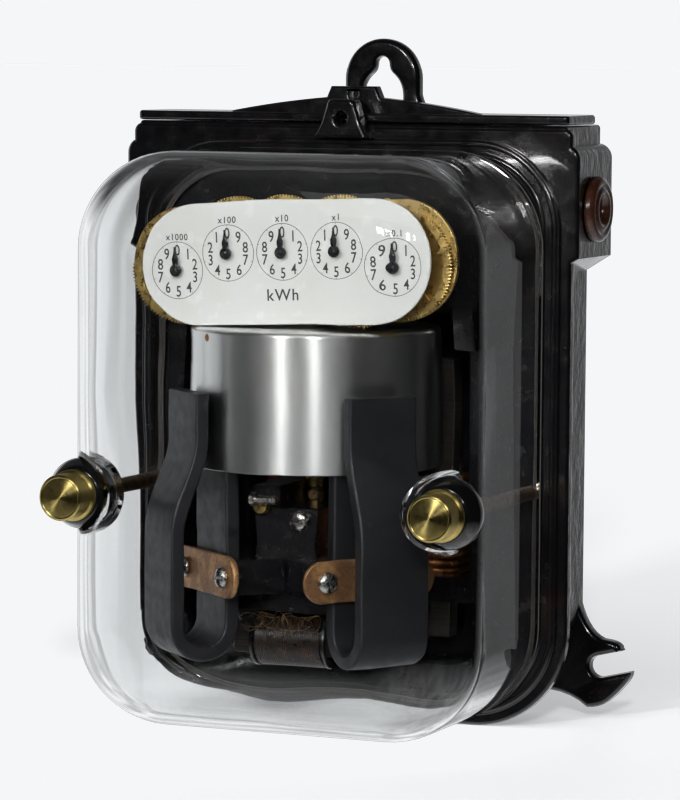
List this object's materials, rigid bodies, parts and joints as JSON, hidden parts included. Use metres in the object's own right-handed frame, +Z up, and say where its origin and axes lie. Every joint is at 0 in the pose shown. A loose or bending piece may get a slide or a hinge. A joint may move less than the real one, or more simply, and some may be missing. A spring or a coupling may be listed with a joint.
{
  "type": "electricity meter",
  "caption": "Wall-hung induction electricity meter: black iron case with hanging ears, domed clear glass cover, pointer register, drum rotor and bent-bar magnets.",
  "frame": {"origin": "on the back of the base, where it meets the wall, on the middle line and level with the bottom quarter of the drum", "axes": "+X to the right seen from the front, +Y into the wall, +Z up"},
  "size_m": [0.1936, 0.1256, 0.2397],
  "materials": {
    "black_japan": "glossy black japan over cast iron, rubbed at the edges",
    "pointer_black": "satin black enamel",
    "clear_glass": "clear pressed glass, slightly wavy",
    "felt": "dark pressed felt",
    "bronze": "darkened bronze rod",
    "polished_brass": "polished, finely turned face",
    "brass": "aged brass",
    "aluminium": "satin, drawn",
    "steel": "turned, slightly dull",
    "magnet_steel": "dark grey, hardened and blacked",
    "strap_copper": "brown, uneven",
    "core_iron": "varnished laminations",
    "winding": "varnished copper wire",
    "white_enamel": "fired white enamel with black figures",
    "fibre": "hard dark fibre"
  },
  "bodies": {
    "base": {"base_casting": "black_japan", "main_frame": "black_japan", "gasket": "felt", "stud_left": "bronze", "stud_right": "bronze", "register_back_plate": "brass", "dial_pillar_1": "brass", "dial_pillar_2": "brass", "dial_pillar_3": "brass", "register_post_left": "brass", "register_post_right": "brass", "lower_bearing": "brass", "upper_bearing": "brass", "adjuster_post": "brass", "terminal_post_1": "brass", "terminal_post_2": "brass", "terminal_post_3": "brass", "terminal_post_4": "brass", "terminal_screw_1": "brass", "terminal_screw_2": "brass", "terminal_screw_3": "brass", "terminal_screw_4": "brass", "adjuster_screw": "steel", "pedestal_screw": "steel", "strap_screw_left_1": "steel", "strap_screw_left_2": "steel", "strap_screw_right_1": "steel", "strap_screw_right_2": "steel", "magnet_left": "magnet_steel", "magnet_right": "magnet_steel", "strap_left": "strap_copper", "strap_right": "strap_copper", "electromagnet_core": "core_iron", "current_coil_left": "winding", "current_coil_right": "winding", "potential_coil": "winding", "dial_plate": "white_enamel", "terminal_block": "fibre", "bushing_left": "fibre", "bushing_right": "fibre"},
    "lid": {"terminal_lid": "black_japan"},
    "cover": {"glass_cover": "clear_glass", "ferrule_left": "black_japan", "ferrule_right": "black_japan"},
    "cover_nut_left": {"nut_left": "polished_brass"},
    "cover_nut_right": {"nut_right": "polished_brass"},
    "rotor": {"rotor_cup": "aluminium", "rotor_shaft": "steel"},
    "input_wheel": {"input_arbor": "brass"},
    "middle_wheel": {"middle_arbor": "brass"},
    "tenths_hand": {"tenths_arbor": "brass", "tenths_pointer": "pointer_black"},
    "ones_hand": {"ones_arbor": "brass", "ones_pointer": "pointer_black"},
    "tens_hand": {"tens_arbor": "brass", "tens_pointer": "pointer_black"},
    "hundreds_hand": {"hundreds_arbor": "brass", "hundreds_pointer": "pointer_black"},
    "thousands_hand": {"thousands_arbor": "brass", "thousands_pointer": "pointer_black"}
  },
  "joints": [
    {"name": "lid_lift", "type": "slide", "parent": "base", "child": "lid", "axis": [0, 0, 1], "range_m": [0, 0.05]},
    {"name": "cover_pull", "type": "slide", "parent": "base", "child": "cover", "axis": [0, -1, 0], "range_m": [0, 0.12]},
    {"name": "nut_left_turn", "type": "hinge", "parent": "cover", "child": "cover_nut_left", "pos_m": [-0.0676, -0.12, -0.0238], "axis": [0, 1, 0], "continuous": true},
    {"name": "nut_right_turn", "type": "hinge", "parent": "cover", "child": "cover_nut_right", "pos_m": [0.0676, -0.12, -0.0238], "axis": [0, 1, 0], "continuous": true},
    {"name": "rotor_spin", "type": "hinge", "parent": "base", "child": "rotor", "pos_m": [0, -0.062, 0], "axis": [0, 0, 1], "continuous": true},
    {"name": "input_spin", "type": "hinge", "parent": "base", "child": "input_wheel", "pos_m": [0.00819, -0.062, 0.04634], "axis": [0, 1, 0], "continuous": true},
    {"name": "middle_spin", "type": "hinge", "parent": "base", "child": "middle_wheel", "pos_m": [0.02109, -0.075, 0.04548], "axis": [0, 1, 0], "continuous": true},
    {"name": "tenths_turn", "type": "hinge", "parent": "base", "child": "tenths_hand", "pos_m": [0.03852, -0.082, 0.05592], "axis": [0, 1, 0], "continuous": true},
    {"name": "ones_turn", "type": "hinge", "parent": "base", "child": "ones_hand", "pos_m": [0.0188, -0.082, 0.0608], "axis": [0, 1, 0], "continuous": true},
    {"name": "tens_turn", "type": "hinge", "parent": "base", "child": "tens_hand", "pos_m": [-0.00148, -0.082, 0.05995], "axis": [0, 1, 0], "continuous": true},
    {"name": "hundreds_turn", "type": "hinge", "parent": "base", "child": "hundreds_hand", "pos_m": [-0.02177, -0.082, 0.0591], "axis": [0, 1, 0], "continuous": true},
    {"name": "thousands_turn", "type": "hinge", "parent": "base", "child": "thousands_hand", "pos_m": [-0.04101, -0.082, 0.05259], "axis": [0, 1, 0], "continuous": true}
  ],
  "couplings": [
    {"joint": "input_spin", "follows": "rotor_spin", "ratio": 0.025},
    {"joint": "middle_spin", "follows": "rotor_spin", "ratio": -0.0041667},
    {"joint": "tenths_turn", "follows": "rotor_spin", "ratio": 0.00041667},
    {"joint": "ones_turn", "follows": "rotor_spin", "ratio": -0.000041667},
    {"joint": "tens_turn", "follows": "rotor_spin", "ratio": 0.0000041667},
    {"joint": "hundreds_turn", "follows": "rotor_spin", "ratio": -0.00000041667},
    {"joint": "thousands_turn", "follows": "rotor_spin", "ratio": 0.000000041667}
  ]
}
